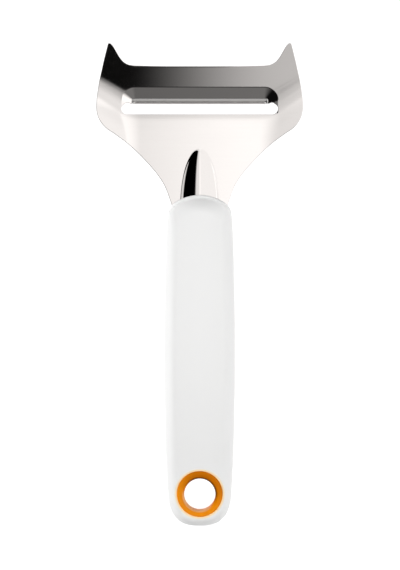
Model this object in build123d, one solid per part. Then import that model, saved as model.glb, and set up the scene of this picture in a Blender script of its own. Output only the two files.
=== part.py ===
from build123d import *
import math
import os

os.makedirs("parts", exist_ok=True)

# ---------------------------------------------------------------------------
# Cheese slicer, millimetres.
# X: across the head, Y: along the grip (head at +Y), Z: up, front face upward.
# Origin: middle of the bounding box in plan, underside of the grip at Z = 0.
# ---------------------------------------------------------------------------

# overall
OVERALL_LENGTH = 220.0
HALF_LENGTH = OVERALL_LENGTH / 2.0

# stamped sheet
SHEET_T = 1.2                 # stainless sheet thickness
PLATE_TOP_Z = 8.6             # upper face of the flat rear plate
BAR_Y = 88.0                  # bend line of the front bar
BAR_TILT = 10.0               # degrees the bar and horns point up
BAR_BLEND = 0.75              # softness of that bend
WING_X = 31.0                 # bend line of the two sides
WING_TILT = 4.0               # degrees the sides point up
WING_BLEND = 0.3              # softness of that bend

# slot and cutting lip
SLOT_HALF = 35.7              # half length of the slot
SLOT_FOLD_Y = 89.9            # fold of the lip = upper edge of the slot
SLOT_REAR_Y = 77.5            # rear edge of the slot
SLOT_R_UP = 6.4               # corner radius by the fold
SLOT_R_LOW = 3.4              # corner radius at the rear edge
EDGE_Y = 82.35                # cutting edge
BEVEL_Y = 84.8                # start of the ground bevel
LIP_DROP = 22.0               # degrees the lip points down
BEVEL_HALF = 30.6             # half length of the ground bevel
GAP_R_UP = 1.8                # corner radii of the open gap
GAP_R_LOW = 3.0

# embossed rib on the neck
RIB_APEX_Y = 61.3
RIB_CENTRE_Y = 36.2
RIB_HALF_W = 8.9
RIB_H = 3.6
RIB_SLOPE = 0.95              # steepness of the rib's flank at its foot

# tang in the grip
TANG_HALF = 9.5
TANG_END_Y = -60.0
TANG_HOLE_R = 3.0
TANG_HOLES_Y = (2.0, -22.0, -46.0)

# grip
NECK_ARC_Y = 20.2             # centre of the arc that closes the neck end
NECK_ARC_R = 20.5
SEAM_R = 18.7                 # seam between collar and sleeve
SLEEVE_T = 2.0                # soft overmould over the core
FILLET_TOP = 6.8
FILLET_LOW = 5.0
COLLAR_R = 1.2                # rounding of the collar's edge

# hanging ring
RING_Y = -94.7
RING_R = 10.4
RING_BORE_R = 7.1
RING_WAIST_R = 9.1
RING_FLANGE = 2.6             # height of the flanges at both faces
RING_LIP_R = 3.3              # rounding of the ring's face into the bore
BORE_Z0, BORE_Z1 = 9.4, 12.4  # straight land of the bore

# head outline, right half: (half width, Y) from the horn's tip to the neck
OUTER = [(41.95, 109.3), (42.6, 106.7), (43.8, 102.0), (44.8, 97.4), (45.8, 92.9),
         (46.5, 88.3), (47.0, 83.8), (47.0, 79.2), (46.05, 75.6), (43.5, 71.9),
         (38.4, 68.2), (33.5, 64.6), (29.4, 61.0), (24.0, 55.5), (19.3, 50.0),
         (15.9, 44.6), (13.8, 39.1), (12.9, 36.6)]
# inner edge of the horn, from the front edge of the bar to the tip
HORN = [(30.6, 99.45), (32.6, 99.95), (34.4, 101.1), (36.1, 103.1), (37.9, 106.1),
        (39.7, 109.0), (40.2, 109.55)]
# grip outline, right half: (half width, Y) from the neck to the ring end
GRIP = [(13.4, 50.0), (13.75, 42.0), (14.25, 35.5), (14.6, 31.5), (14.95, 27.3),
        (15.3, 20.0), (15.6, 10.9), (15.84, 0.0), (16.06, -11.0), (16.22, -24.7),
        (16.2, -35.6), (16.03, -52.0), (15.69, -68.4), (15.07, -84.8),
        (14.6, -93.5), (13.95, -100.0), (12.0, -104.9), (8.7, -108.2), (4.4, -109.75)]
# upper profile of the grip: (Y, Z), dished for the thumb before the collar
CROWN = [(-112.0, 14.7), (-100.0, 14.8), (-88.0, 15.2), (-70.0, 16.6), (-50.0, 17.8),
         (-30.0, 18.0), (-10.0, 17.3), (8.0, 15.9), (19.0, 14.7), (27.0, 14.3),
         (33.0, 14.6), (38.75, 15.4), (45.0, 16.6), (52.0, 18.2)]


def mirrored(points):
    return [(-x, y) for x, y in reversed(points)]


def shifted(points, d):
    """Points of an open line moved sideways by d (to its left)."""
    out = []
    for i, (x, y) in enumerate(points):
        x0, y0 = points[max(i - 1, 0)]
        x1, y1 = points[min(i + 1, len(points) - 1)]
        n = math.hypot(x1 - x0, y1 - y0)
        out.append((x - d * (y1 - y0) / n, y + d * (x1 - x0) / n))
    return out


def prism(face, z0, z1):
    return Pos(0, 0, z0) * extrude(face, z1 - z0, dir=(0, 0, 1))


def side_solid(yz_edges, half):
    """Closed profile drawn in Y and Z, made into a bar along X."""
    wire = Wire(yz_edges)
    face = Face(wire)
    return extrude(Pos(-half, 0, 0) * face, 2 * half, dir=(1, 0, 0))


def yz(y, z):
    return (0, y, z)


# ---------------------------------------------------------------------------
# blade: one stamped sheet
# ---------------------------------------------------------------------------
bar_slope = math.tan(math.radians(BAR_TILT))
wing_slope = math.tan(math.radians(WING_TILT))
drop = math.radians(LIP_DROP)
lip_slope = math.tan(drop)


def soft_max(a, b, k):
    h = max(k - abs(a - b), 0.0) / k
    return max(a, b) + 0.25 * k * h * h


def sheet_top(x, y):
    """Height of the sheet's upper face before slot and rib are formed."""
    rise = soft_max(0.0, wing_slope * (abs(x) - WING_X), WING_BLEND)
    return PLATE_TOP_Z + soft_max(rise, bar_slope * (y - BAR_Y), BAR_BLEND)


xs = [-51 + 2.55 * i for i in range(41)]
ys = [-70 + 10.0 * i for i in range(13)] + [53 + 2.2 * i for i in range(28)]
top_face = Face.make_surface_from_array_of_points(
    [[(x, y, sheet_top(x, y)) for x in xs] for y in ys], tol=0.005)
sheet = extrude(top_face, SHEET_T, dir=(0, 0, -1))
under_top = extrude(top_face, 9.0, dir=(0, 0, -1))

tip = (41.2, HALF_LENGTH)
shoulder = [(12.9, 36.6), (12.6, 35.4), (11.0, 34.2), (TANG_HALF, 32.0)]
outline = [
    Line((-30.6, 99.45), (30.6, 99.45)),
    Spline(*HORN, tangents=[(1, 0), (0.7, 0.7)]),
    ThreePointArc(HORN[-1], tip, OUTER[0]),
    Spline(*OUTER),
    Spline(*shoulder),
    Line((TANG_HALF, 32.0), (TANG_HALF, TANG_END_Y + 5)),
    ThreePointArc((TANG_HALF, TANG_END_Y + 5), (0, TANG_END_Y), (-TANG_HALF, TANG_END_Y + 5)),
    Line((-TANG_HALF, TANG_END_Y + 5), (-TANG_HALF, 32.0)),
    Spline(*mirrored(shoulder)),
    Spline(*mirrored(OUTER)),
    ThreePointArc(mirrored(OUTER)[-1], (-tip[0], tip[1]), (-HORN[-1][0], HORN[-1][1])),
    Spline(*mirrored(HORN), tangents=[(0.7, -0.7), (1, 0)]),
]
plan = Face(Wire(outline))

# the slot, its corners rounder beside the fold than at the rear edge
q = math.sqrt(0.5)


def corner(cx, cy, r, sx, sy, first):
    pts = [(cx + sx * r, cy), (cx + sx * r * q, cy + sy * r * q), (cx, cy + sy * r)]
    if not first:
        pts.reverse()
    return ThreePointArc(*pts)


def slot_face(half, y_low, y_up, r_low, r_up):
    """Rounded slot in plan with different radii above and below."""
    return Face(Wire([
        Line((-half + r_low, y_low), (half - r_low, y_low)),
        corner(half - r_low, y_low + r_low, r_low, 1, -1, False),
        Line((half, y_low + r_low), (half, y_up - r_up)),
        corner(half - r_up, y_up - r_up, r_up, 1, 1, True),
        Line((half - r_up, y_up), (-half + r_up, y_up)),
        corner(-half + r_up, y_up - r_up, r_up, -1, 1, False),
        Line((-half, y_up - r_up), (-half, y_low + r_low)),
        corner(-half + r_low, y_low + r_low, r_low, -1, -1, True),
    ]))


slot = slot_face(SLOT_HALF, SLOT_REAR_Y, SLOT_FOLD_Y, SLOT_R_LOW, SLOT_R_UP)
gap = slot_face(SLOT_HALF, SLOT_REAR_Y, EDGE_Y, GAP_R_LOW, GAP_R_UP)
blade = sheet & prism(plan, 0, 30)
blade -= prism(slot, 0, 30)

# cutting lip: leaves the fold downward like a hopper, its ends sloping up to the sides
fold_z = sheet_top(0, SLOT_FOLD_Y)
vt = SHEET_T / math.cos(drop)      # lip thickness measured upright
reach = SLOT_R_UP - 0.1            # how far in the rounded hopper goes


def lip_z(y):
    return fold_z - lip_slope * (SLOT_FOLD_Y - y)


def hopper(z_top):
    """Rounded funnel below the slot's outline, widest at z_top."""
    wide = slot_face(SLOT_HALF, SLOT_REAR_Y - 25, SLOT_FOLD_Y, SLOT_R_UP, SLOT_R_UP)
    narrow = slot_face(SLOT_HALF - reach, SLOT_REAR_Y - 25 + reach, SLOT_FOLD_Y - reach,
                       SLOT_R_UP - reach, SLOT_R_UP - reach)
    return loft([Pos(0, 0, z_top) * wide, Pos(0, 0, z_top - reach * lip_slope) * narrow],
                ruled=True)


reach_y = SLOT_FOLD_Y - reach
deep_y = EDGE_Y - 1
slab_profile = [
    yz(reach_y + 0.3, lip_z(reach_y + 0.3)),
    yz(deep_y, lip_z(deep_y)),
    yz(deep_y, lip_z(deep_y) - vt),
    yz(reach_y + 0.3, lip_z(reach_y + 0.3) - vt),
]
slab = side_solid([Line(a, b) for a, b in zip(slab_profile, slab_profile[1:] + slab_profile[:1])],
                  SLOT_HALF - reach)
shell_face = slot_face(SLOT_HALF, SLOT_REAR_Y - 25, SLOT_FOLD_Y, SLOT_R_UP, SLOT_R_UP)
shell = prism(shell_face, fold_z - vt, fold_z) + hopper(fold_z - vt) - hopper(fold_z)
shell = shell - Pos(0, reach_y - 20, 0) * Box(2 * (SLOT_HALF - reach), 40, 60)
shell = shell + slab
beyond = Pos(0, EDGE_Y - 1.9 + 20, 0) * Box(90, 40, 60)
shell = (shell & beyond) - prism(gap, 0, 30) & under_top
y_far = EDGE_Y - 0.6
z_near = lip_z(BEVEL_Y)
z_edge = lip_z(EDGE_Y) - vt + 0.15
z_far = z_edge - (z_near - z_edge) / (BEVEL_Y - EDGE_Y) * (EDGE_Y - y_far)
ground = [yz(BEVEL_Y, z_near), yz(y_far, z_far), yz(y_far, z_near + 2), yz(BEVEL_Y, z_near + 2)]
shell -= side_solid([Line(a, b) for a, b in zip(ground, ground[1:] + ground[:1])], BEVEL_HALF)
shell = max(shell.solids(), key=lambda part: part.volume)
blade = blade + shell

# rib: a dome pressed up out of the neck, hollow underneath
k = RIB_H / (RIB_HALF_W * RIB_SLOPE - RIB_H)
rib_c = RIB_H / (1 - k)
rib_s = math.sqrt(1 - k * k)
rib_a = RIB_HALF_W / rib_s
rib_b = (RIB_APEX_Y - RIB_CENTRE_Y) / rib_s
rib_z = PLATE_TOP_Z - k * rib_c


def dome(inset):
    body = scale(Sphere(10.0), by=((rib_a - inset) / 10, (rib_b - inset) / 10,
                                   (rib_c - inset) / 10))
    return Pos(0, RIB_CENTRE_Y, rib_z) * body


above = Pos(0, RIB_CENTRE_Y, PLATE_TOP_Z - SHEET_T) * Box(
    60, 120, 40, align=(Align.CENTER, Align.CENTER, Align.MIN))
hollow = dome(SHEET_T)
blade = (blade - hollow) + ((dome(0) & above) - hollow)

for y in TANG_HOLES_Y:
    blade -= Pos(0, y, 0) * Cylinder(TANG_HOLE_R, 60)

# ---------------------------------------------------------------------------
# grip: full body first, then core, sleeve and ring
# ---------------------------------------------------------------------------


def pillow(inset, r_top, r_low):
    side = shifted(GRIP, -inset) if inset else GRIP
    end_y = -HALF_LENGTH + inset
    pts = side + [(0.0, end_y)] + mirrored(side)
    u = Spline(*pts)
    cap = Line(pts[-1], pts[0])
    body = prism(Face(Wire([u, cap])), -5, 30)
    top = [(y, z - inset) for y, z in CROWN]
    prof = [
        Spline(*[yz(y, z) for y, z in top]),
        Line(yz(top[-1][0], top[-1][1]), yz(top[-1][0], inset)),
        Line(yz(top[-1][0], inset), yz(top[0][0], inset)),
        Line(yz(top[0][0], inset), yz(*top[0])),
    ]
    body &= side_solid(prof, 30)
    # the two long U-shaped edges
    long_edges = [e for e in body.edges() if e.length > 250]
    upper = [e for e in long_edges if e.center().Z > 8]
    lower = [e for e in long_edges if e.center().Z <= 8]
    body = fillet(upper, r_top)
    long_edges = [e for e in body.edges() if e.length > 250 and e.center().Z < inset + 0.01]
    body = fillet(long_edges, r_low)
    return body


far = Pos(0, 60, 0) * Box(80, 80, 80)          # everything beyond Y = 20
far_arc = Pos(0, NECK_ARC_Y, 0)

grip = pillow(0, FILLET_TOP, FILLET_LOW)
grip -= far - far_arc * Cylinder(NECK_ARC_R, 100)
front_edges = [e for e in grip.edges()
               if e.center().Y > 33 and abs(math.hypot(
                   (e @ 0.5).X, (e @ 0.5).Y - NECK_ARC_Y) - NECK_ARC_R) < 0.05]
grip = fillet(front_edges, COLLAR_R)

inner = pillow(SLEEVE_T, FILLET_TOP - SLEEVE_T, FILLET_LOW - SLEEVE_T)
inner -= far - far_arc * Cylinder(SEAM_R + 0.5, 100)
collar = grip & (far - far_arc * Cylinder(SEAM_R, 100))
core_full = inner + collar

# hanging ring: waisted eyelet, flush with the grip, rounded into the bore on both faces
ring_top = CROWN[2][1] - 0.35      # height of the grip's face at the ring's middle
f = RING_FLANGE


def turned(points):
    """Solid of revolution about the ring's axis; a point is (radius, Z)."""
    edges = []
    for a, b in zip(points, points[1:] + points[:1]):
        edges.append(Line((a[0], 0, a[1]), (b[0], 0, b[1])))
    return Pos(0, RING_Y, 0) * revolve(Face(Wire(edges)), Axis.Z, 360)


ring_room = turned([(0, -2.0), (RING_R, -2.0), (RING_R, f), (RING_WAIST_R, f + 1.2),
                    (RING_WAIST_R, ring_top - f - 1.2), (RING_R, ring_top - f),
                    (RING_R, 24.0), (0, 24.0)])


def lip_arc(z_face, z_land):
    """Rounded line from the bore's land out to the face, in radius and Z."""
    n, line = 10, []
    for i in range(n + 1):
        a = math.pi / 2 * i / n
        line.append((RING_BORE_R + RING_LIP_R * (1 - math.cos(a)),
                     z_land + (z_face - z_land) * math.sin(a)))
    return line


bore_line = ([(0, -3.0), (RING_BORE_R + RING_LIP_R, -3.0)]
             + lip_arc(-0.3, BORE_Z0)[::-1] + lip_arc(ring_top + 0.65, BORE_Z1)
             + [(RING_BORE_R + RING_LIP_R, 25.0), (0, 25.0)])
ring = (grip & ring_room) - turned(bore_line)

sleeve = grip - core_full - ring_room
core = core_full - blade - ring_room

nodes = {
    "slicer_blade": blade,
    "handle_core": core,
    "grip_sleeve": sleeve,
    "hanging_ring": ring,
}
for name, shape in nodes.items():
    solids = shape.solids()
    body = solids[0] if len(solids) == 1 else Compound(solids)
    bb = body.bounding_box()
    print(name, "solids", len(solids), "valid", body.is_valid, "volume %.0f" % body.volume,
          "x %.2f..%.2f y %.2f..%.2f z %.2f..%.2f" % (
              bb.min.X, bb.max.X, bb.min.Y, bb.max.Y, bb.min.Z, bb.max.Z))
    export_step(body, "parts/%s.step" % name)
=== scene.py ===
import math

import bpy
import numpy as np
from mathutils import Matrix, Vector
from mathutils.geometry import delaunay_2d_cdt


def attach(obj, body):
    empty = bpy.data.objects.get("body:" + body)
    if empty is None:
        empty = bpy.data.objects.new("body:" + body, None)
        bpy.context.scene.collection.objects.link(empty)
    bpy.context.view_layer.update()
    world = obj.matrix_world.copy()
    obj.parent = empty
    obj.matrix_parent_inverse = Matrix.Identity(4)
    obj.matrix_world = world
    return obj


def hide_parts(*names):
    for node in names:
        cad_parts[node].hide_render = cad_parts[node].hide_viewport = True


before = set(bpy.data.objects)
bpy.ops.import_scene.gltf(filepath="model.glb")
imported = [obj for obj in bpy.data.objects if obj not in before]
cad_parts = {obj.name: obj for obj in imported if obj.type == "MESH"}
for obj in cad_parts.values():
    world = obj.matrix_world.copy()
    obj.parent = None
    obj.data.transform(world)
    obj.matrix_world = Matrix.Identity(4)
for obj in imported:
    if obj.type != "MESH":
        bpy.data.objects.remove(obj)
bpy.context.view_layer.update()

MM = 0.001

# ---------------------------------------------------------------------------
# numbers shared with the CAD part, millimetres
# ---------------------------------------------------------------------------
PLATE_Z = 8.6
SHEET_T = 1.2
BAR_Y, BAR_SLOPE, KNEE_SLOPE = 86.5, 0.1317, 0.0787   # bend line, slopes above and just below it
KNEE, CURVE_END = 2.8, -21.0                          # half width of the bend, end of the slow curve
WING_X, WING_RATIO, WING_BLEND = 32.0, 0.57, 5.0
SLOT_HALF, FOLD_Y, SLOT_R = 35.7, 89.55, 6.2
EDGE_Y, BEVEL_Y, BEVEL_HALF = 82.35, 84.8, 31.0
REAR_Y = 77.5
LIP_TAN = 0.31
RIB_Y, RIB_HALF_W, RIB_HALF_L, RIB_H, RIB_SLOPE = 30.2, 8.9, 31.1, 3.5, 1.58
RIB_POWER = 2.3
ARC_Y, ARC_R, SEAM_R = 20.2, 20.5, 18.7
RING_Y, RING_R, BORE_R = -94.7, 10.4, 7.1
LIP_R, LAND_0, LAND_1 = 3.3, 9.4, 12.4

OUTER = [(41.7, 108.75), (42.4, 106.1), (43.6, 101.5), (44.65, 97.0), (45.65, 92.6),
         (46.4, 88.1), (46.95, 83.7), (46.98, 79.2), (46.05, 75.6), (43.5, 71.9),
         (38.4, 68.2), (33.5, 64.6), (29.4, 61.0), (24.0, 55.5), (19.3, 50.0),
         (15.9, 44.6), (13.8, 39.1), (12.9, 36.6)]
HORN = [(12.0, 99.12), (20.0, 99.18), (26.5, 99.34), (30.3, 99.5), (32.4, 99.92), (34.25, 100.92), (35.95, 102.75), (37.7, 105.6),
        (39.45, 108.4), (39.95, 108.95)]
GAP_TOP = [(35.7, 80.15), (35.45, 80.9), (35.0, 81.5), (34.45, 82.0), (33.9, 82.4),
           (33.35, 82.72), (32.85, 82.8), (32.3, 82.68), (31.8, 82.45), (31.3, 82.35)]
GRIP = [(0.0, 40.4), (4.0, 40.0), (7.6, 38.96), (10.6, 37.5), (12.55, 36.1), (13.6, 34.75),
        (14.25, 33.3), (14.62, 31.5), (14.95, 27.3), (15.3, 20.0), (15.6, 10.9), (15.84, 0.0),
        (16.06, -11.0), (16.2, -24.7), (16.18, -35.6), (16.03, -52.0), (15.69, -68.4),
        (15.07, -84.8), (14.6, -93.5), (13.9, -100.0), (12.0, -104.9), (8.7, -108.2),
        (4.4, -109.74), (0.0, -109.99)]
CROWN = [(-112.0, 14.7), (-100.0, 14.8), (-88.0, 15.2), (-70.0, 16.6), (-50.0, 17.7),
         (-30.0, 17.9), (-10.0, 17.2), (8.0, 15.9), (19.0, 14.7), (27.0, 14.3),
         (33.0, 14.3), (38.75, 14.4), (45.0, 14.6)]
DISH_RISE, DISH_RUN, DISH_X = 2.7, 6.4, 8.5          # rise of the grip against the collar


# ---------------------------------------------------------------------------
# curves in plan
# ---------------------------------------------------------------------------
def spline(points, step, first=None, last=None):
    """Smooth line through the points, sampled about every step."""
    p = np.array(points, float)
    d = np.maximum(np.linalg.norm(np.diff(p, axis=0), axis=1), 1e-9)
    m = np.zeros_like(p)
    for i in range(1, len(p) - 1):
        a, b = d[i - 1], d[i]
        m[i] = ((p[i] - p[i - 1]) / a * b + (p[i + 1] - p[i]) / b * a) / (a + b)
    m[0] = (p[1] - p[0]) / d[0] * 1.5 - m[1] * 0.5 if first is None else np.array(first, float)
    m[-1] = (p[-1] - p[-2]) / d[-1] * 1.5 - m[-2] * 0.5 if last is None else np.array(last, float)
    out = [p[0]]
    for i in range(len(p) - 1):
        n = max(1, int(math.ceil(d[i] / step)))
        for j in range(1, n + 1):
            t = j / n
            t2, t3 = t * t, t * t * t
            out.append((2 * t3 - 3 * t2 + 1) * p[i] + (t3 - 2 * t2 + t) * d[i] * m[i]
                       + (-2 * t3 + 3 * t2) * p[i + 1] + (t3 - t2) * d[i] * m[i + 1])
    return np.array(out)


def line(a, b, step):
    n = max(1, int(math.ceil(math.dist(a, b) / step)))
    t = np.linspace(0, 1, n + 1)[:, None]
    return np.array(a) * (1 - t) + np.array(b) * t


def arc(cx, cy, r, a0, a1, step):
    n = max(2, int(math.ceil(abs(math.radians(a1 - a0)) * r / step)))
    a = np.radians(np.linspace(a0, a1, n + 1))
    return np.stack([cx + r * np.cos(a), cy + r * np.sin(a)], 1)


def chain(*parts):
    out = [parts[0]]
    for q in parts[1:]:
        out.append(q[1:])
    return np.vstack(out)


def both_sides(half):
    """Closed loop from its right half, which runs from the top of the middle line to its foot."""
    left = half[::-1][1:-1] * np.array([-1, 1])
    return np.vstack([half, left])


def area(loop):
    x, y = loop[:, 0], loop[:, 1]
    return 0.5 * np.sum(x * np.roll(y, -1) - np.roll(x, -1) * y)


def ccw(loop):
    return loop if area(loop) > 0 else loop[::-1].copy()


def outward(loop):
    """Unit normals out of a counter-clockwise loop."""
    a = loop - np.roll(loop, 1, 0)
    b = np.roll(loop, -1, 0) - loop
    a /= np.linalg.norm(a, axis=1)[:, None]
    b /= np.linalg.norm(b, axis=1)[:, None]
    t = a + b
    t /= np.linalg.norm(t, axis=1)[:, None]
    return np.stack([t[:, 1], -t[:, 0]], 1)


def inside(pts, loops):
    """Even-odd test of points against closed loops."""
    res = np.zeros(len(pts), bool)
    for s in range(0, len(pts), 4000):
        q = pts[s:s + 4000]
        hit = np.zeros(len(q), bool)
        for lp in loops:
            x0, y0 = lp[:, 0], lp[:, 1]
            x1, y1 = np.roll(x0, -1), np.roll(y0, -1)
            c = (y0[None] > q[:, 1:2]) != (y1[None] > q[:, 1:2])
            dy = np.where(y1 == y0, 1e-12, y1 - y0)
            xi = x0 + (q[:, 1:2] - y0[None]) * ((x1 - x0) / dy)[None]
            hit ^= (np.sum(c & (q[:, 0:1] < xi), 1) % 2).astype(bool)
        res[s:s + 4000] = hit
    return res


def distance(pts, loop, closed=True):
    a = loop if closed else loop[:-1]
    b = np.roll(loop, -1, 0) if closed else loop[1:]
    ab = b - a
    ll = np.maximum(np.sum(ab * ab, 1), 1e-12)
    res = np.empty(len(pts))
    for s in range(0, len(pts), 3000):
        q = pts[s:s + 3000]
        ax = q[:, None, 0] - a[None, :, 0]
        ay = q[:, None, 1] - a[None, :, 1]
        t = np.clip((ax * ab[None, :, 0] + ay * ab[None, :, 1]) / ll[None], 0, 1)
        dx = ax - t * ab[None, :, 0]
        dy = ay - t * ab[None, :, 1]
        res[s:s + 3000] = np.sqrt(np.min(dx * dx + dy * dy, 1))
    return res


def grid(x0, x1, y0, y1, step):
    """Triangular lattice of points."""
    out = []
    j = 0
    y = y0
    while y <= y1:
        xs = np.arange(x0 + (step / 2 if j % 2 else 0), x1 + 1e-9, step)
        out.append(np.stack([xs, np.full(len(xs), y)], 1))
        y += step * 0.8660254
        j += 1
    return np.vstack(out)


def triangulate(loops, rows, pts, clear=0.25):
    """Plan mesh of the area between the loops. Rows are open lines kept as edges.
    Returns points, triangles, and each loop's indices."""
    pts = pts[inside(pts, loops)]
    for lp in loops:
        pts = pts[distance(pts, lp) > clear]
    verts, edges, where = [], [], []
    base = 0
    for lp in loops:
        n = len(lp)
        where.append(np.arange(base, base + n))
        verts.append(lp)
        edges += [(base + i, base + (i + 1) % n) for i in range(n)]
        base += n
    for row in rows:
        ok = inside(row, loops)
        for lp in loops:
            ok &= distance(row, lp) > 0.012
        keep = np.cumsum(ok) - 1
        verts.append(row[ok])
        edges += [(base + keep[i], base + keep[i + 1]) for i in range(len(row) - 1)
                  if ok[i] and ok[i + 1]]
        base += int(ok.sum())
    if rows:
        allrows = np.vstack([r for r in rows])
        cell = {}
        for q in allrows:
            cell.setdefault((int(q[0] // 0.5), int(q[1] // 0.5)), []).append(q)
        keep = []
        for q in pts:
            cx, cy = int(q[0] // 0.5), int(q[1] // 0.5)
            near = False
            for i in (-1, 0, 1):
                for j in (-1, 0, 1):
                    for w in cell.get((cx + i, cy + j), ()):
                        if (w[0] - q[0]) ** 2 + (w[1] - q[1]) ** 2 < 0.09:
                            near = True
            keep.append(not near)
        pts = pts[np.array(keep, bool)]
    verts.append(pts)
    v = np.vstack(verts)
    ov, _, of, orig, _, _ = delaunay_2d_cdt(
        [Vector(q) for q in v], [(int(a), int(b)) for a, b in edges], [], 0, 1e-5, True)
    ov = np.array([[q[0], q[1]] for q in ov])
    tri = np.array([f for f in of if len(f) == 3], int)
    mid = ov[tri].mean(1)
    tri = tri[inside(mid, loops)]
    e1 = ov[tri[:, 1]] - ov[tri[:, 0]]
    e2 = ov[tri[:, 2]] - ov[tri[:, 0]]
    cr = e1[:, 0] * e2[:, 1] - e1[:, 1] * e2[:, 0]
    tri[cr < 0] = tri[cr < 0][:, ::-1]
    new = {}
    for i, src in enumerate(orig):
        for s in src:
            new[s] = i
    loops_at = [np.array([new[int(i)] for i in w]) for w in where]
    return ov, tri, loops_at


def soft_max(a, b, k):
    h = np.maximum(k - np.abs(a - b), 0.0) / k
    return np.maximum(a, b) + 0.25 * k * h * h


def ease(t):
    t = np.clip(t, 0, 1)
    return t * t * (3 - 2 * t)


def gradient(f, p, h=0.02):
    ex, ey = np.array([h, 0.0]), np.array([0.0, h])
    gx = (f(p + ex) - f(p - ex)) / (2 * h)
    gy = (f(p + ey) - f(p - ey)) / (2 * h)
    return gx, gy


def up_normals(f, p, h=0.02):
    gx, gy = gradient(f, p, h)
    n = np.stack([-gx, -gy, np.ones(len(p))], 1)
    return n / np.linalg.norm(n, axis=1)[:, None]


def build(name, verts, faces, normals, mats, index=None):
    """Mesh object from points in millimetres, with its own shading normals."""
    me = bpy.data.meshes.new(name)
    me.from_pydata([tuple(v) for v in np.asarray(verts) * MM], [], [tuple(int(i) for i in f) for f in faces])
    for m in mats:
        me.materials.append(m)
    me.polygons.foreach_set("use_smooth", [True] * len(me.polygons))
    if index is not None:
        me.polygons.foreach_set("material_index", [int(i) for i in index])
    me.update()
    if normals is not None:
        me.normals_split_custom_set_from_vertices([tuple(n) for n in normals])
    ob = bpy.data.objects.new(name, me)
    bpy.context.scene.collection.objects.link(ob)
    return ob


# ---------------------------------------------------------------------------
# materials
# ---------------------------------------------------------------------------
def new_material(name):
    m = bpy.data.materials.new(name)
    m.use_nodes = True
    nt = m.node_tree
    return m, nt, nt.nodes["Principled BSDF"]


def node(nt, kind, **values):
    n = nt.nodes.new(kind)
    for k, v in values.items():
        if hasattr(n, k):
            setattr(n, k, v)
        else:
            n.inputs[k].default_value = v
    return n


def steel(name, base, rough, spread, streak, bump):
    """Stainless steel with fine lines along X: stretched noise drives roughness and a faint bump."""
    m, nt, b = new_material(name)
    co = node(nt, "ShaderNodeTexCoord")
    mp = node(nt, "ShaderNodeMapping")
    mp.inputs["Scale"].default_value = (streak[0], streak[1], streak[1])
    nt.links.new(co.outputs["Object"], mp.inputs["Vector"])
    fine = node(nt, "ShaderNodeTexNoise", Scale=1.0, Detail=3.0, Roughness=0.55)
    nt.links.new(mp.outputs["Vector"], fine.inputs["Vector"])
    wide = node(nt, "ShaderNodeTexNoise", Scale=45.0, Detail=2.0, Roughness=0.5)
    nt.links.new(co.outputs["Object"], wide.inputs["Vector"])
    mix = node(nt, "ShaderNodeMath", operation="MULTIPLY_ADD")
    nt.links.new(fine.outputs["Fac"], mix.inputs[0])
    mix.inputs[1].default_value = 0.6
    half = node(nt, "ShaderNodeMath", operation="MULTIPLY")
    nt.links.new(wide.outputs["Fac"], half.inputs[0])
    half.inputs[1].default_value = 0.4
    nt.links.new(half.outputs[0], mix.inputs[2])
    rr = node(nt, "ShaderNodeMapRange")
    rr.inputs["From Min"].default_value = 0.3
    rr.inputs["From Max"].default_value = 0.7
    rr.inputs["To Min"].default_value = rough - spread
    rr.inputs["To Max"].default_value = rough + spread
    nt.links.new(mix.outputs[0], rr.inputs["Value"])
    nt.links.new(rr.outputs[0], b.inputs["Roughness"])
    tone = node(nt, "ShaderNodeMapRange")
    tone.inputs["From Min"].default_value = 0.3
    tone.inputs["From Max"].default_value = 0.7
    tone.inputs["To Min"].default_value = 0.0
    tone.inputs["To Max"].default_value = 1.0
    nt.links.new(fine.outputs["Fac"], tone.inputs["Value"])
    col = node(nt, "ShaderNodeMix", data_type="RGBA")
    col.inputs[6].default_value = (base[0] * 0.99, base[1] * 0.99, base[2] * 0.99, 1)
    col.inputs[7].default_value = (base[0] * 1.008, base[1] * 1.008, base[2] * 1.008, 1)
    nt.links.new(tone.outputs[0], col.inputs[0])
    nt.links.new(col.outputs[2], b.inputs["Base Color"])
    bp = node(nt, "ShaderNodeBump")
    bp.inputs["Strength"].default_value = bump
    bp.inputs["Distance"].default_value = 0.00002
    nt.links.new(fine.outputs["Fac"], bp.inputs["Height"])
    nt.links.new(bp.outputs["Normal"], b.inputs["Normal"])
    b.inputs["Metallic"].default_value = 1.0
    return m


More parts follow.
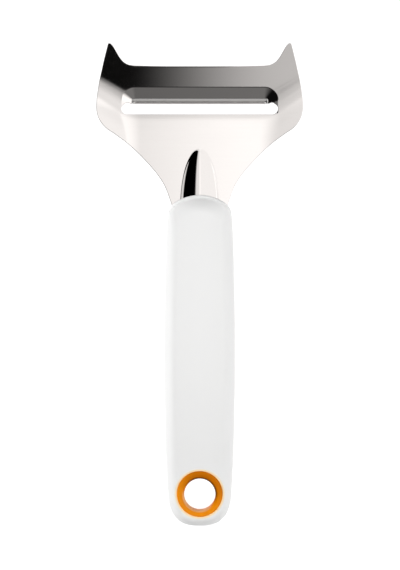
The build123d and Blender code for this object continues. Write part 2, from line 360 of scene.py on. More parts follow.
def plastic(name, base, rough, spread, scale, bump, dist, spec=0.5, coat=0.0, sss=0.0):
    """Moulded plastic: fine grain in bump and roughness, and a slow drift of tone."""
    m, nt, b = new_material(name)
    co = node(nt, "ShaderNodeTexCoord")
    fine = node(nt, "ShaderNodeTexNoise", Scale=scale, Detail=3.0, Roughness=0.6)
    slow = node(nt, "ShaderNodeTexNoise", Scale=28.0, Detail=2.0, Roughness=0.5)
    nt.links.new(co.outputs["Object"], fine.inputs["Vector"])
    nt.links.new(co.outputs["Object"], slow.inputs["Vector"])
    rr = node(nt, "ShaderNodeMapRange")
    rr.inputs["From Min"].default_value = 0.3
    rr.inputs["From Max"].default_value = 0.7
    rr.inputs["To Min"].default_value = rough - spread
    rr.inputs["To Max"].default_value = rough + spread
    nt.links.new(slow.outputs["Fac"], rr.inputs["Value"])
    nt.links.new(rr.outputs[0], b.inputs["Roughness"])
    col = node(nt, "ShaderNodeMix", data_type="RGBA")
    col.inputs[6].default_value = (base[0] * 0.985, base[1] * 0.985, base[2] * 0.985, 1)
    col.inputs[7].default_value = (base[0] * 1.01, base[1] * 1.01, base[2] * 1.01, 1)
    nt.links.new(slow.outputs["Fac"], col.inputs[0])
    nt.links.new(col.outputs[2], b.inputs["Base Color"])
    bp = node(nt, "ShaderNodeBump")
    bp.inputs["Strength"].default_value = bump
    bp.inputs["Distance"].default_value = dist
    nt.links.new(fine.outputs["Fac"], bp.inputs["Height"])
    nt.links.new(bp.outputs["Normal"], b.inputs["Normal"])
    b.inputs["Specular IOR Level"].default_value = spec
    b.inputs["Coat Weight"].default_value = coat
    b.inputs["Coat Roughness"].default_value = 0.15
    return m


STEEL = steel("blade_polished", (0.668, 0.648, 0.638), 0.045, 0.012, (60.0, 2600.0), 0.055)
GROUND = steel("blade_ground", (0.66, 0.655, 0.65), 0.17, 0.03, (2600.0, 120.0), 0.3)
SOFT = plastic("sleeve_soft_touch", (0.865, 0.865, 0.86), 0.42, 0.04, 2600.0, 0.35, 0.00002)
RIGID = plastic("core_white", (0.875, 0.875, 0.87), 0.24, 0.03, 1500.0, 0.15, 0.00001)
ORANGE = plastic("ring_orange", (0.85, 0.262, 0.001), 0.45, 0.04, 1500.0, 0.2, 0.00001, spec=0.08)


def paint_warm_halo_round_ring(m, reach, amount):
    """Painted halo: a warm orange glow of light painted into the white plastic just round the ring, fading
    outwards.
    """
    nt = m.node_tree
    b = nt.nodes["Principled BSDF"]
    src = b.inputs["Base Color"].links[0].from_socket
    co = node(nt, "ShaderNodeTexCoord")
    mp = node(nt, "ShaderNodeMapping")
    mp.inputs["Location"].default_value = (0.0, -RING_Y * MM, 0.0)
    mp.inputs["Scale"].default_value = (1.0, 1.0, 0.0)
    nt.links.new(co.outputs["Object"], mp.inputs["Vector"])
    ln = node(nt, "ShaderNodeVectorMath", operation="LENGTH")
    nt.links.new(mp.outputs["Vector"], ln.inputs[0])
    mr = node(nt, "ShaderNodeMapRange")
    mr.inputs["From Min"].default_value = (RING_R + 0.35) * MM
    mr.inputs["From Max"].default_value = (RING_R + reach) * MM
    mr.inputs["To Min"].default_value = amount
    mr.inputs["To Max"].default_value = 0.0
    nt.links.new(ln.outputs["Value"], mr.inputs["Value"])
    mx = node(nt, "ShaderNodeMix", data_type="RGBA")
    # painted halo colour: warm light painted round the ring
    mx.inputs[7].default_value = (1.0, 0.76, 0.42, 1)
    nt.links.new(mr.outputs[0], mx.inputs[0])
    nt.links.new(src, mx.inputs[6])
    nt.links.new(mx.outputs[2], b.inputs["Base Color"])


# paints a warm halo of light round the ring into the sleeve's colour
paint_warm_halo_round_ring(SOFT, 1.15, 1.0)


def paint_shade_and_light_in_bore(m):
    """Painted shade and light: the moulding is painted darker towards the neck, with painted shade darkest on the
    lip of its bore, and painted pale, as if lit, on the opposite lip.
    """
    nt = m.node_tree
    b = nt.nodes["Principled BSDF"]
    src = b.inputs["Base Color"].links[0].from_socket
    co = node(nt, "ShaderNodeTexCoord")
    mp = node(nt, "ShaderNodeMapping")
    mp.inputs["Location"].default_value = (0.0, (-RING_Y + 0.55) * MM, 0.0)
    mp.inputs["Scale"].default_value = (1.0, 1.0, 0.0)
    nt.links.new(co.outputs["Object"], mp.inputs["Vector"])
    ln = node(nt, "ShaderNodeVectorMath", operation="LENGTH")
    nt.links.new(mp.outputs["Vector"], ln.inputs[0])
    un = node(nt, "ShaderNodeVectorMath", operation="NORMALIZE")
    nt.links.new(mp.outputs["Vector"], un.inputs[0])
    dt = node(nt, "ShaderNodeVectorMath", operation="DOT_PRODUCT")
    nt.links.new(un.outputs["Vector"], dt.inputs[0])
    dt.inputs[1].default_value = (0.5, 0.866, 0.0)

    def span(value, a, b_, lo, hi):
        mr = node(nt, "ShaderNodeMapRange")
        mr.interpolation_type = "SMOOTHSTEP"
        mr.inputs["From Min"].default_value = a
        mr.inputs["From Max"].default_value = b_
        mr.inputs["To Min"].default_value = lo
        mr.inputs["To Max"].default_value = hi
        nt.links.new(value, mr.inputs["Value"])
        return mr.outputs[0]

    # painted shade: the side towards the neck darkened as a side turned away from the light
    wide = node(nt, "ShaderNodeMix", data_type="RGBA")
    nt.links.new(span(dt.outputs["Value"], -0.5, 1.0, 0.0, 0.62), wide.inputs[0])
    nt.links.new(src, wide.inputs[6])
    wide.inputs[7].default_value = (0.50, 0.115, 0.0, 1)
    # painted shade in the hole: dark brown on the bore's lip towards the neck
    painted_lip_shade_mask = node(nt, "ShaderNodeMath", operation="MULTIPLY")
    nt.links.new(span(ln.outputs["Value"], (BORE_R + 0.3) * MM, (BORE_R + 1.4) * MM, 1.0, 0.0), painted_lip_shade_mask.inputs[0])
    nt.links.new(span(dt.outputs["Value"], -0.15, 0.75, 0.0, 1.0), painted_lip_shade_mask.inputs[1])
    painted_lip_shade = node(nt, "ShaderNodeMix", data_type="RGBA")
    nt.links.new(painted_lip_shade_mask.outputs[0], painted_lip_shade.inputs[0])
    nt.links.new(wide.outputs[2], painted_lip_shade.inputs[6])
    painted_lip_shade.inputs[7].default_value = (0.085, 0.03, 0.002, 1)
    # painted light: the bore's lip away from the neck lightened to a pale salmon
    pale = node(nt, "ShaderNodeMath", operation="MULTIPLY")
    nt.links.new(span(ln.outputs["Value"], (BORE_R + 0.3) * MM, (BORE_R + 1.1) * MM, 0.9, 0.0), pale.inputs[0])
    nt.links.new(span(dt.outputs["Value"], -0.75, -0.1, 1.0, 0.0), pale.inputs[1])
    light = node(nt, "ShaderNodeMix", data_type="RGBA")
    nt.links.new(pale.outputs[0], light.inputs[0])
    nt.links.new(painted_lip_shade.outputs[2], light.inputs[6])
    light.inputs[7].default_value = (1.0, 0.56, 0.24, 1)
    nt.links.new(light.outputs[2], b.inputs["Base Color"])


# paints shade and light into the ring's orange
paint_shade_and_light_in_bore(ORANGE)


# ---------------------------------------------------------------------------
# blade
# ---------------------------------------------------------------------------
def bend_line():
    """Height over the plate against the distance from the bend line, as a table."""
    t = np.arange(-30.0, 30.01, 0.05)
    quick = np.clip((t + KNEE) / (2 * KNEE), 0, 1)
    quick = quick * quick * (3 - 2 * quick)
    slow = KNEE_SLOPE * np.clip((t - CURVE_END) / (-KNEE - CURVE_END), 0, 1) ** 1.15
    slope = slow + (BAR_SLOPE - KNEE_SLOPE) * quick
    h = np.concatenate([[0], np.cumsum(0.5 * (slope[1:] + slope[:-1]) * 0.05)])
    return t, h


BEND_T, BEND_H = bend_line()


def sheet(p):
    x, y = np.abs(p[:, 0]), p[:, 1]
    over = soft_max(0.0 * x, x - WING_X, WING_BLEND)
    t = y - BAR_Y - WING_RATIO * over
    h = np.interp(t, BEND_T, BEND_H) + np.maximum(t - BEND_T[-1], 0) * BAR_SLOPE
    return PLATE_Z + h + BAR_SLOPE * WING_RATIO * over


def fold_depth(p):
    """How far inside the slot's fold line a point is."""
    dx = np.abs(p[:, 0]) - (SLOT_HALF - SLOT_R)
    dy = p[:, 1] - (FOLD_Y - SLOT_R)
    share = ease(dx / (2.2 * np.clip(-dy, 1e-6, 1.0)))
    low = np.where(dx > 0, dy * (1 - share) + dx * share, dy)
    out = np.where(dy < 0, low, np.hypot(np.maximum(dx, 0), np.maximum(dy, 0)))
    return SLOT_R - out


def lip_drop(p):
    return soft_max(np.zeros(len(p)), LIP_TAN * fold_depth(p), 0.09)


def rib(p):
    k = RIB_H / (RIB_HALF_W * RIB_SLOPE - RIB_H)
    c = RIB_H / (1 - k)
    s2 = 1 - k * k
    e2 = (p[:, 0] / RIB_HALF_W) ** 2 + (np.abs(p[:, 1] - RIB_Y) / RIB_HALF_L) ** RIB_POWER
    cap = np.where(s2 * e2 < 1, -k * c + c * np.sqrt(np.maximum(1 - s2 * e2, 0)), -k * c)
    return soft_max(np.zeros(len(p)), cap, 0.34)


def bevel_cut(p):
    m = (SHEET_T / math.cos(math.radians(22.0)) - 0.15) / (BEVEL_Y - EDGE_Y)
    cut = soft_max(np.zeros(len(p)), m * (BEVEL_Y - p[:, 1]), 0.1)
    return cut * ease((BEVEL_HALF + 0.25 - np.abs(p[:, 0])) / 0.45) * (p[:, 1] > 81.0)


def front_lift(p):
    """The cut leaves the bar's front edge turned up a little, most on the left."""
    t = np.clip((p[:, 1] - 98.5) / 0.6, 0, 1.3)
    return 0.065 * t * t * ease((33.0 - np.abs(p[:, 0])) / 3.0) * (1 - 0.93 * ease((p[:, 0] + 1.0) / 20.0))


def blade_form(p):
    return sheet(p) + front_lift(p) - lip_drop(p) * (p[:, 1] > 78.0) + rib(p) * (p[:, 1] < 66.0)


def blade_top(p):
    return blade_form(p) - bevel_cut(p)


def blade_low(p):
    gx, gy = gradient(blade_form, p)
    return blade_form(p) - np.minimum(SHEET_T * np.sqrt(1 + gx * gx + gy * gy), 1.6)


right = chain(
    line((0, 99.1), (12.0, 99.12), 0.8),
    spline(HORN, 0.45, first=(1, 0), last=(0.72, 0.69)),
    spline([(39.95, 108.95), (40.4, 109.27), (40.95, 109.4), (41.43, 109.22), (41.7, 108.75)], 0.16),
    spline(OUTER, 0.6),
    spline([(12.9, 36.6), (12.6, 35.4), (11.0, 34.2), (9.5, 32.0)], 0.8),
    line((9.5, 32.0), (9.5, -55.0), 2.0),
    arc(0, -50.0, 10.0, 0, -90, 1.5)[1:] * np.array([0.95, 1]) + 0.0)
outline = ccw(both_sides(right))
gap_half = chain(
    spline(GAP_TOP, 0.25)[::-1][::1],
)
gap_half = np.vstack([line((0, EDGE_Y), (31.3, EDGE_Y), 0.6)[:-1], gap_half,
                      arc(33.05, 80.15, 2.65, 0, -90, 0.25)[1:],
                      line((33.05, REAR_Y), (0, REAR_Y), 0.8)[1:]])
gap = ccw(both_sides(gap_half))

n_out = outward(outline)
n_gap = -outward(gap)               # out of the metal, into the gap


def edge_radius(p):
    t = blade_top(p) - blade_low(p)
    return np.clip(0.22 * t, 0.03, 0.24)


r_out = edge_radius(outline)
r_gap = edge_radius(gap)
outline_in = outline - n_out * r_out[:, None]
gap_in = gap - n_gap * r_gap[:, None]

rows = []
# rows along the fold of the slot
for d in (-1.1, -0.7, -0.42, -0.24, -0.08, 0.08, 0.24, 0.42, 0.7, 1.1):
    r = SLOT_R - d
    half = SLOT_HALF - SLOT_R
    side = arc(half, FOLD_Y - SLOT_R, r, 90, 0, 0.45)
    row = chain(line((-half, FOLD_Y - d), (half, FOLD_Y - d), 0.8),
                side, line((half + r, FOLD_Y - SLOT_R), (half + r, 78.5), 0.7))
    rows.append(row)
    rows.append(np.vstack([side, line((half + r, FOLD_Y - SLOT_R), (half + r, 78.5), 0.7)[1:]])
                * np.array([-1, 1]))
# rows along the ground bevel
for y in (BEVEL_Y + 0.5, BEVEL_Y + 0.16, BEVEL_Y + 0.05, BEVEL_Y - 0.05, BEVEL_Y - 0.3, BEVEL_Y - 0.8,
          BEVEL_Y - 1.3, BEVEL_Y - 1.8, EDGE_Y + 0.25):
    rows.append(line((-31.6, y), (31.6, y), 0.4))
for x in (30.5, 30.75, 30.9, 31.05, 31.2, 31.4):
    for s in (-1, 1):
        rows.append(line((s * x, EDGE_Y + 0.25), (s * x, BEVEL_Y + 0.3), 0.25))
# rows along the front edge
for y in (98.35, 98.5, 98.7, 98.88):
    rows.append(line((-34.0, y), (34.0, y), 0.8))
# rows round the foot and the body of the rib
for d in (-0.7, -0.4, -0.22, -0.08, 0.08, 0.22, 0.4, 0.7, 1.2, 2.0, 3.0, 4.0):
    a = np.radians(np.linspace(-8, 188, 150))
    sn = np.sin(a)
    rows.append(np.stack([(RIB_HALF_W - d) * np.cos(a),
                          RIB_Y + (RIB_HALF_L - d) * np.sign(sn) * np.abs(sn) ** (2 / RIB_POWER)], 1))
plan, tri, at = triangulate([outline_in, gap_in], rows, grid(-48, 48, -60, 110, 1.0), 0.3)

zt = blade_top(plan)
zl = blade_low(plan)
nt_ = up_normals(blade_top, plan)
nl_ = -up_normals(blade_form, plan)
V = [np.column_stack([plan, zt]), np.column_stack([plan, zl])]
N = [nt_, nl_]
F = [list(t) for t in tri] + [list(t[::-1] + len(plan)) for t in tri]
mid = plan[tri].mean(1)
in_bevel = (mid[:, 1] < BEVEL_Y) & (mid[:, 1] > EDGE_Y - 0.2) & (np.abs(mid[:, 0]) < BEVEL_HALF)
M = list(in_bevel.astype(int)) + [0] * len(tri)
base = 2 * len(plan)
for loop, nrm, rad, ids in ((outline, n_out, r_out, at[0]), (gap, n_gap, r_gap, at[1])):
    n = len(loop)
    top_z, low_z = zt[ids], zl[ids]
    top_n, low_n = nt_[ids], nl_[ids]
    prev = ids
    for phi in (60, 30, 0):
        c, s = math.cos(math.radians(phi)), math.sin(math.radians(phi))
        q = loop - nrm * (rad * (1 - c))[:, None]
        V.append(np.column_stack([q, top_z - rad * (1 - s)]))
        m3 = top_n * s + np.column_stack([nrm, np.zeros(n)]) * c
        N.append(m3 / np.linalg.norm(m3, axis=1)[:, None])
        cur = np.arange(base, base + n)
        base += n
        for i in range(n):
            j = (i + 1) % n
            F.append([prev[i], cur[i], cur[j], prev[j]] if loop is outline else
                     [prev[j], cur[j], cur[i], prev[i]])
            M.append(0)
        prev = cur
    for phi in (0, 30, 60):
        c, s = math.cos(math.radians(phi)), math.sin(math.radians(phi))
        q = loop - nrm * (rad * (1 - c))[:, None]
        V.append(np.column_stack([q, low_z + rad * (1 - s)]))
        m3 = low_n * s + np.column_stack([nrm, np.zeros(n)]) * c
        N.append(m3 / np.linalg.norm(m3, axis=1)[:, None])
        cur = np.arange(base, base + n)
        base += n
        for i in range(n):
            j = (i + 1) % n
            F.append([prev[i], cur[i], cur[j], prev[j]] if loop is outline else
                     [prev[j], cur[j], cur[i], prev[i]])
            M.append(0)
        prev = cur
    last = ids + len(plan)
    for i in range(n):
        j = (i + 1) % n
        F.append([prev[i], last[i], last[j], prev[j]] if loop is outline else
                 [prev[j], last[j], last[i], prev[i]])
        M.append(0)
blade = build("blade", np.vstack(V), F, np.vstack(N), [STEEL, GROUND], M)
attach(blade, "root")
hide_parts("slicer_blade")

# ---------------------------------------------------------------------------
# handle: one skin in plan, split into collar and sleeve at the seam
# ---------------------------------------------------------------------------
grip_half = spline(GRIP, 0.7, first=(1, 0), last=(-1, 0))
seam_d = np.hypot(grip_half[:, 0], grip_half[:, 1] - ARC_Y) - SEAM_R
k = int(np.argmax((seam_d < 0) & (grip_half[:, 1] > 20)))       # first point behind the seam
t = seam_d[k - 1] / (seam_d[k - 1] - seam_d[k])
seam_end = grip_half[k - 1] * (1 - t) + grip_half[k] * t
grip_half = np.vstack([grip_half[:k], seam_end[None], grip_half[k:]])
if np.linalg.norm(grip_half[k] - grip_half[k - 1]) < 0.15:
    grip_half = np.delete(grip_half, k - 1, 0)
elif np.linalg.norm(grip_half[k] - grip_half[k + 1]) < 0.15:
    grip_half = np.delete(grip_half, k + 1, 0)
grip_loop = ccw(both_sides(grip_half))
n_grip = outward(grip_loop)
hole = ccw(arc(0, RING_Y, RING_R, 0, 360, 0.6)[:-1])

crown_y = np.array([c[0] for c in CROWN])
crown_line = spline(CROWN, 1.0)
Z_MID = 7.5
seam_angle = math.degrees(math.atan2(seam_end[1] - ARC_Y, seam_end[0]))


def crown_z(y):
    return np.interp(y, crown_line[:, 0], crown_line[:, 1])


def front_share(p):
    """1 at the neck end, 0 along the sides."""
    a = np.degrees(np.arctan2(np.abs(p[:, 0]), np.maximum(p[:, 1] - ARC_Y, 1e-3)))
    return ease((64.0 - a) / 36.0) * (p[:, 1] > ARC_Y)


def roll(u, p, q):
    u = np.clip(u, 0, 1)
    return (1 - (1 - u) ** p) ** (1 / q)


def dish(p):
    u = np.clip((np.hypot(p[:, 0], p[:, 1] - ARC_Y) - SEAM_R + DISH_RUN) / DISH_RUN, 0, 1)
    return DISH_RISE * u ** 2.1 * np.exp(-((p[:, 0] - 1.0) / DISH_X) ** 2) * (p[:, 1] > ARC_Y)


def grip_top(p, d=None):
    d = distance(p, grip_loop) if d is None else d
    w = front_share(p)
    zc = crown_z(p[:, 1]) + dish(p) - 1.3 * (np.abs(p[:, 0]) / 15.0) ** 2.4 * (1 - 0.3 * w)
    rr = (5.6 - 1.5 * ease((-95.0 - p[:, 1]) / 11.0)) * (1 - w) + 1.9 * w
    a = (zc - Z_MID) * (1 - w) + 1.9 * w
    return zc - a + a * roll(d / rr, 2.1, 2.0)


def seam_groove(p):
    d = np.abs(np.hypot(p[:, 0], p[:, 1] - ARC_Y) - SEAM_R)
    r = 0.32
    g = r - np.sqrt(np.maximum(r * r - np.maximum(r - d, 0) ** 2, 0))
    return g * (p[:, 1] > ARC_Y)


def ring_groove(p):
    d = np.abs(np.hypot(p[:, 0], p[:, 1] - RING_Y) - RING_R)
    r = 0.22
    return r - np.sqrt(np.maximum(r * r - np.maximum(r - d, 0) ** 2, 0))


def skin_top(p):
    return grip_top(p) - seam_groove(p) - ring_groove(p)


def skin_low(p):
    d = distance(p, grip_loop)
    w = front_share(p)
    rr = 5.0 * (1 - w) + 1.5 * w
    return rr * (1 - roll(d / rr, 2.0, 2.0)) + seam_groove(p) + ring_groove(p)


rows = []
for d in (0.03, 0.1, 0.22, 0.4, 0.65, 1.0, 1.45, 2.0, 2.7, 3.5):
    rows.append(np.vstack([grip_loop - n_grip * d, (grip_loop - n_grip * d)[:1]]))
for d in (-0.5, -0.32, -0.22, -0.12, -0.04, 0.04, 0.12, 0.22, 0.32, 0.5):
    rows.append(arc(0, ARC_Y, SEAM_R + d, 20, 160, 0.6))
seam_row = arc(0, ARC_Y, SEAM_R, seam_angle, 180 - seam_angle, 0.6)
for d in (0.04, 0.1, 0.16, 0.22, 0.4):
    ringrow = arc(0, RING_Y, RING_R + d, 0, 360, 0.6)
    rows.append(ringrow)

# the seam itself reaches the outline's own points
loops = [grip_loop, hole]


def triangulate_skin():
    pts = grid(-17, 17, -110, 41, 1.1)
    plan, tri, at = None, None, None
    extra = rows + [seam_row]
    return triangulate(loops, extra, pts, 0.3)


plan, tri, at = triangulate_skin()
top = skin_top(plan)
edge_ids, hole_ids = at
# on the outline the surface stands upright
low = skin_low(plan)
top_n = up_normals(skin_top, plan)
low_n = -up_normals(skin_low, plan)
edge_n = np.column_stack([n_grip, np.zeros(len(n_grip))])
top_n[edge_ids] = edge_n
low_n[edge_ids] = edge_n
np_ = len(plan)
V = [np.column_stack([plan, top]), np.column_stack([plan, low])]
N = [top_n, low_n]
mid = plan[tri].mean(1)
collar_tri = (np.hypot(mid[:, 0], mid[:, 1] - ARC_Y) > SEAM_R) & (mid[:, 1] > 25)
F = [list(t) for t in tri] + [list(t[::-1] + np_) for t in tri]
C = list(collar_tri) + list(collar_tri)
base = 2 * np_
prev = edge_ids
n = len(grip_loop)
steps = 4
for s in range(1, steps + 1):
    if s == steps:
        cur = edge_ids + np_
    else:
        u = s / steps
        V.append(np.column_stack([grip_loop, top[edge_ids] * (1 - u) + low[edge_ids] * u]))
        N.append(edge_n)
        cur = np.arange(base, base + n)
        base += n
    for i in range(n):
        j = (i + 1) % n
        F.append([prev[i], cur[i], cur[j], prev[j]])
        m = 0.5 * (grip_loop[i] + grip_loop[j])
        C.append(bool(np.hypot(m[0], m[1] - ARC_Y) > SEAM_R and m[1] > 25))
    prev = cur
V = np.vstack(V)
N = np.vstack(N)
C = np.array(C)

# open edges of a set of faces, as directed edges
def rim(faces):
    seen = {}
    for f in faces:
        for i in range(len(f)):
            e = (int(f[i]), int(f[(i + 1) % len(f)]))
            seen[e] = seen.get(e, 0) + 1
    return [e for e in seen if (e[1], e[0]) not in seen]


def shell(name, outer, thickness, mats):
    """Closed skin of that thickness from a set of outer faces."""
    used = sorted({int(i) for f in outer for i in f})
    idx = {v: i for i, v in enumerate(used)}
    nv = len(used)
    v = V[used]
    nn = N[used]
    verts = np.vstack([v, v - nn * thickness])
    norms = np.vstack([nn, -nn])
    faces = [[idx[int(i)] for i in f] for f in outer]
    faces += [[i + nv for i in f[::-1]] for f in faces]
    for a, b in rim(outer):
        faces.append([idx[b], idx[a], idx[a] + nv, idx[b] + nv])
    return build(name, verts, faces, norms, mats)


sleeve_faces = [f for f, c in zip(F, C) if not c]
collar_faces = [f for f, c in zip(F, C) if c]
sleeve = shell("sleeve", sleeve_faces, 1.95, [SOFT])
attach(sleeve, "root")
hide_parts("grip_sleeve")

# core: collar outside, inner body under the sleeve, open at the ring's seat
used_c = sorted({int(i) for f in collar_faces for i in f})
used_s = sorted({int(i) for f in sleeve_faces for i in f})
idc = {v: i for i, v in enumerate(used_c)}
ids = {v: i + len(used_c) for i, v in enumerate(used_s)}
verts = np.vstack([V[used_c], V[used_s] - N[used_s] * 2.0])
norms = np.vstack([N[used_c], N[used_s]])
faces = [[idc[int(i)] for i in f] for f in collar_faces]
faces += [[ids[int(i)] for i in f] for f in sleeve_faces]
for a, b in rim(collar_faces):
    faces.append([idc[b], idc[a], ids[a], ids[b]])
# wall round the ring's seat: joins the upper hole edge to the lower one
for i in range(len(hole_ids)):
    j = (i + 1) % len(hole_ids)
    a, b = int(hole_ids[i]), int(hole_ids[j])
    faces.append([ids[a], ids[b], ids[b + np_], ids[a + np_]])
core = build("core", verts, faces, norms, [RIGID])
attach(core, "root")
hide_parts("handle_core")

# ---------------------------------------------------------------------------
# hanging ring
# ---------------------------------------------------------------------------
NA = 160
ang = np.linspace(0, 2 * np.pi, NA, endpoint=False)


def polar(r):
    u = np.clip((RING_R - 0.5 - r) / (RING_R - 0.5 - BORE_R), 0, 1)
    return np.column_stack([r * np.cos(ang) + 0.05 * u, RING_Y - 0.55 * u + (1 + 0.02 * u) * r * np.sin(ang)])


def ring_face(r, low_side):
    """Height of the ring's face at a radius: flush outside, rolled down to the bore's land."""
    p = polar(np.full(NA, r))
    t = np.clip((r - BORE_R) / LIP_R, 0, 1)
    fall = 1 - math.sqrt(max(1 - (1 - t) ** 2, 0))
    edge = max(0.2 - (RING_R - 0.03 - r), 0)
    rim_fall = 0.2 - math.sqrt(max(0.2 ** 2 - edge ** 2, 0))
    if low_side:
        d = distance(p, grip_loop)
        face = 5.0 * (1 - roll(d / 5.0, 2.0, 2.0))
        return face + (LAND_0 - face) * fall + rim_fall
    face = grip_top(p)
    return face + (LAND_1 - face) * fall - rim_fall


radii = [RING_R - 0.03, RING_R - 0.04, RING_R - 0.08, RING_R - 0.14, RING_R - 0.2, RING_R - 0.5]
radii += [BORE_R + LIP_R * (1 - math.cos(math.radians(a))) for a in (80, 72, 64, 56, 48, 40, 32, 24, 16, 8, 0)]
V, N = [], []
for r in radii:
    V.append(np.column_stack([polar(np.full(NA, r)), ring_face(r, False)]))
zb_t, zb_l = ring_face(BORE_R, False), ring_face(BORE_R, True)
for u in (0.25, 0.5, 0.75):
    V.append(np.column_stack([polar(np.full(NA, BORE_R)), zb_t * (1 - u) + zb_l * u]))
for r in radii[::-1]:
    V.append(np.column_stack([polar(np.full(NA, r)), ring_face(r, True)]))
zo_t, zo_l = V[0][:, 2], V[-1][:, 2]
for u, r in ((0.2, RING_R - 0.03), (0.3, 9.15), (0.7, 9.15), (0.8, RING_R - 0.03)):
    V.append(np.column_stack([polar(np.full(NA, r)), zo_l * (1 - u) + zo_t * u]))
rows_n = len(V)
P = np.stack(V)                                     # rows x angles x 3
du = np.roll(P, -1, 1) - np.roll(P, 1, 1)
dv = np.roll(P, -1, 0) - np.roll(P, 1, 0)
nn = np.cross(du, dv)
nn /= np.maximum(np.linalg.norm(nn, axis=2), 1e-9)[..., None]
if np.sum(nn[3, :, 2]) < 0:
    nn = -nn
    flip = True
else:
    flip = False
faces = []
for i in range(rows_n):
    i2 = (i + 1) % rows_n
    for j in range(NA):
        j2 = (j + 1) % NA
        f = [i * NA + j, i * NA + j2, i2 * NA + j2, i2 * NA + j]
        faces.append(f if not flip else f[::-1])
ring = build("ring", P.reshape(-1, 3), faces, nn.reshape(-1, 3), [ORANGE])
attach(ring, "root")
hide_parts("hanging_ring")

# ---------------------------------------------------------------------------
# floor, light, camera
# ---------------------------------------------------------------------------
floor_mat, nt, b = new_material("floor_pale")
b.inputs["Base Color"].default_value = (0.3, 0.3, 0.3, 1)
b.inputs["Roughness"].default_value = 1.0
b.inputs["Specular IOR Level"].default_value = 0.0
b.inputs["Emission Color"].default_value = (1, 1, 1, 1)
b.inputs["Emission Strength"].default_value = 0.96
me = bpy.data.meshes.new("floor")
S = 40.0
me.from_pydata([(-S, -S, 0), (S, -S, 0), (S, S, 0), (-S, S, 0)], [], [(0, 1, 2, 3)])
me.materials.append(floor_mat)
floor = bpy.data.objects.new("floor", me)
floor.location.z = -0.0003
bpy.context.scene.collection.objects.link(floor)

world = bpy.data.worlds.new("studio")
bpy.context.scene.world = world
world.use_nodes = True
wt = world.node_tree
wt.nodes.clear()


def wm(op, a, b=None, c=None):
    n = wt.nodes.new("ShaderNodeMath")
    n.operation = op
    for i, v in enumerate((a, b, c)):
        if v is None:
            continue
        if isinstance(v, (int, float)):
            n.inputs[i].default_value = v
        else:
            wt.links.new(v, n.inputs[i])
    return n.outputs[0]


tc = wt.nodes.new("ShaderNodeTexCoord")
sx = wt.nodes.new("ShaderNodeSeparateXYZ")
wt.links.new(tc.outputs["Generated"], sx.inputs[0])
dx, dy, dz = sx.outputs
DEG = 180.0 / math.pi
ax = wm("MULTIPLY", wm("ARCTAN2", dx, dz), DEG)
ay = wm("MULTIPLY", wm("ARCTAN2", dy, dz), DEG)


def ease_w(v, lo, hi):
    """0 below lo, 1 above hi, smooth between."""
    n = wt.nodes.new("ShaderNodeMapRange")
    n.interpolation_type = "SMOOTHSTEP"
    wt.links.new(v, n.inputs["Value"])
    n.inputs["From Min"].default_value = lo
    n.inputs["From Max"].default_value = hi
    return n.outputs[0]


def mix_w(a, b, t):
    return wm("MULTIPLY_ADD", wm("SUBTRACT", b, a), t, a)


def card(v, lo, hi, start, end):
    """Soft edge of a light card: one brightness before it, another after it."""
    return wm("MULTIPLY_ADD", ease_w(v, start, end), hi - lo, lo)


# the flat steel mirrors large cards with soft edges: a dark one on the left and a pale one on the right,
# whose edge gets softer and paler from the horns towards the grip
bar_band = card(ax, 0.005, 0.76, -2.6, 3.4)
band_1 = card(ax, 0.04, 0.75, -3.4, 2.0)
band_2 = card(ax, 0.3, 0.75, -3.0, 1.4)
band_3 = card(ax, 0.72, 0.85, -3.0, 3.0)
band_4 = card(ax, 0.77, 1.08, -1.0, 1.4)
band_5 = card(ax, 0.89, 1.2, -2.2, 1.6)
left_card = card(ax, 0.0, 1.0, -16.5, -10.5)
band_6 = wm("ADD", wm("MULTIPLY", left_card, 0.96), card(ax, 0.0, 0.2, -2.5, 1.0))
band_7 = wm("ADD", wm("MULTIPLY", left_card, 1.05),
            wm("SUBTRACT", card(ax, 0.0, 0.5, -5.0, 2.2), card(ax, 0.0, 0.28, 2.3, 3.2)))
plate_band = wm("ADD", wm("MULTIPLY", left_card, 1.12),
                wm("SUBTRACT", card(ax, 0.0, 0.44, -5.0, 2.8), card(ax, 0.0, 0.2, 2.4, 3.3)))
near = bar_band
for band, lo, hi in ((band_1, -6.0, -4.6), (band_2, -3.6, -2.3), (band_3, -2.2, -1.7), (band_4, -1.6, -1.1),
                     (band_5, -0.9, 0.0), (band_6, 0.2, 1.2), (band_7, 1.2, 2.1), (plate_band, 3.0, 5.0)):
    near = mix_w(near, band, ease_w(ay, lo, hi))
phi = wm("MULTIPLY", wm("ARCTAN2", dy, dx), DEG)
far = wm("MULTIPLY", wm("ADD", card(phi, 0.005, 0.245, -125.0, -76.0), card(phi, 0.0, 1.36, -50.0, -24.0)),
         card(phi, 1.0, 0.0, 102.0, 130.0))
polar_deg = wm("MULTIPLY", wm("ARCCOSINE", dz), DEG)
down = wm("MULTIPLY", ay, -1.0)                      # degrees towards the grip
blend = wm("MAXIMUM", ease_w(down, 8.3, 10.0),
           wm("MULTIPLY", ease_w(polar_deg, 20.0, 29.0), ease_w(down, -4.0, 2.0)))
over = mix_w(near, far, blend)
# darker gaps beside the cards towards the grip
gap_1 = wm("MULTIPLY", wm("MULTIPLY", ease_w(down, 8.3, 9.5), wm("SUBTRACT", 1.0, ease_w(down, 22.0, 29.0))),
           wm("SUBTRACT", 1.0, ease_w(wm("ABSOLUTE", ax), 5.0, 12.0)))
gap_2 = wm("MULTIPLY", ease_w(down, 47.0, 51.0), wm("SUBTRACT", 1.0, ease_w(down, 60.0, 64.0)))
over = wm("MULTIPLY", over, wm("SUBTRACT", 1.0, wm("ADD", wm("MULTIPLY", gap_1, 0.8), wm("MULTIPLY", gap_2, 0.6))))
over = mix_w(over, 0.62, ease_w(down, 63.0, 67.0))
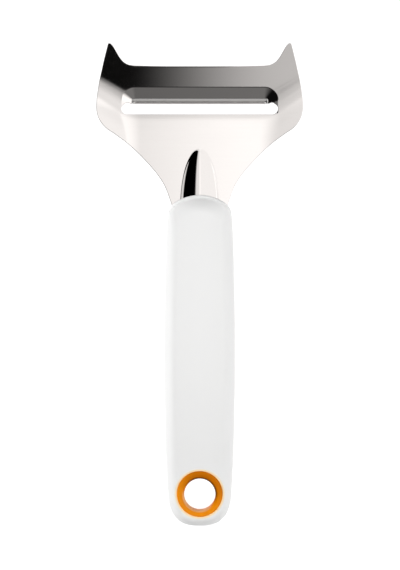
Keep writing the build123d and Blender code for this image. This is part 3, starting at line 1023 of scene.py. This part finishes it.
# low dark edge of the table towards the horns
rim_dark = wm("MULTIPLY", wm("MULTIPLY", ease_w(polar_deg, 48.0, 58.0), wm("SUBTRACT", 1.0, ease_w(polar_deg, 74.0, 79.0))),
              ease_w(phi, 66.0, 90.0))
over = wm("MULTIPLY", over, wm("SUBTRACT", 1.0, wm("MULTIPLY", rim_dark, 0.93)))
low_t = ease_w(polar_deg, 76.0, 81.0)
side_lit = mix_w(0.92, 1.6, ease_w(dx, 0.0, 0.7))
level = mix_w(side_lit, 0.62, ease_w(down, 55.0, 65.0))
total = mix_w(over, level, low_t)
comb = wt.nodes.new("ShaderNodeCombineColor")
wt.links.new(total, comb.inputs[0])
wt.links.new(wm("MULTIPLY", total, 0.985), comb.inputs[1])
wt.links.new(wm("MULTIPLY", total, 0.972), comb.inputs[2])
bg = wt.nodes.new("ShaderNodeBackground")
wt.links.new(comb.outputs[0], bg.inputs[0])
out = wt.nodes.new("ShaderNodeOutputWorld")
wt.links.new(bg.outputs[0], out.inputs[0])
world.cycles_visibility.diffuse = False


def softbox(name, loc, target, size, power):
    li = bpy.data.lights.new(name, "AREA")
    li.shape = "RECTANGLE"
    li.size, li.size_y = size
    li.energy = power
    ob = bpy.data.objects.new(name, li)
    ob.location = loc
    ob.rotation_euler = (Vector(target) - Vector(loc)).to_track_quat("-Z", "Y").to_euler()
    ob.visible_glossy = False
    ob.visible_camera = False
    bpy.context.scene.collection.objects.link(ob)
    return ob


softbox("key_left", (-1.08, 0.45, 0.46), (0, 0, 0), (0.6, 0.9), 8.7)
softbox("key_right", (1.17, 0.10, 0.46), (0, 0, 0), (0.6, 0.9), 5.0)
softbox("fill_top", (0.0, -0.06, 1.35), (0, -0.05, 0), (0.9, 1.1), 13.6)

cam_data = bpy.data.cameras.new("camera")
cam_data.sensor_fit = "VERTICAL"
cam_data.sensor_height = 24.0
cam_data.lens = 24.0 * 700.0 / 259.7
cam_data.clip_end = 200.0
cam = bpy.data.objects.new("camera", cam_data)
cam.location = (0.000137, -0.0003, 0.7086)
bpy.context.scene.collection.objects.link(cam)
bpy.context.scene.camera = cam

vs = bpy.context.scene.view_settings
vs.view_transform = "Standard"
vs.look = "None"
vs.exposure = 0.0
vs.gamma = 1.0
